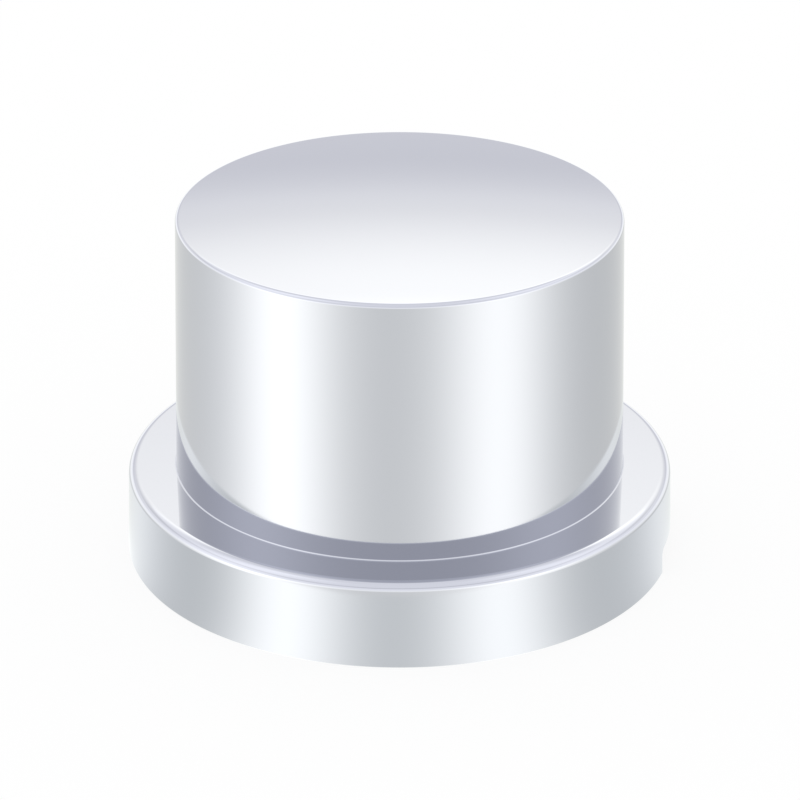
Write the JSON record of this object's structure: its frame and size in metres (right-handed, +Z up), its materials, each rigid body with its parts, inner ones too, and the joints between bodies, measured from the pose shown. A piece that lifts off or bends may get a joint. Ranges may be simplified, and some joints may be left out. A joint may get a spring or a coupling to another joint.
{
  "type": "nut cover",
  "caption": "Chrome-plated push-on cover for a flanged hexagon wheel nut: crowned barrel, flat flange ring, notched skirt and inner grip ribs.",
  "frame": {"origin": "centre of the skirt's foot, on the plane that the cover stands on", "axes": "+Z up along the axis, from the open foot to the crown; +X towards the notch in the skirt's foot"},
  "size_m": [0.0518, 0.0518, 0.0343],
  "materials": {
    "chrome_plating": "bright plated, polished"
  },
  "bodies": {
    "root": {"nut_cover": "chrome_plating"}
  },
  "joints": []
}
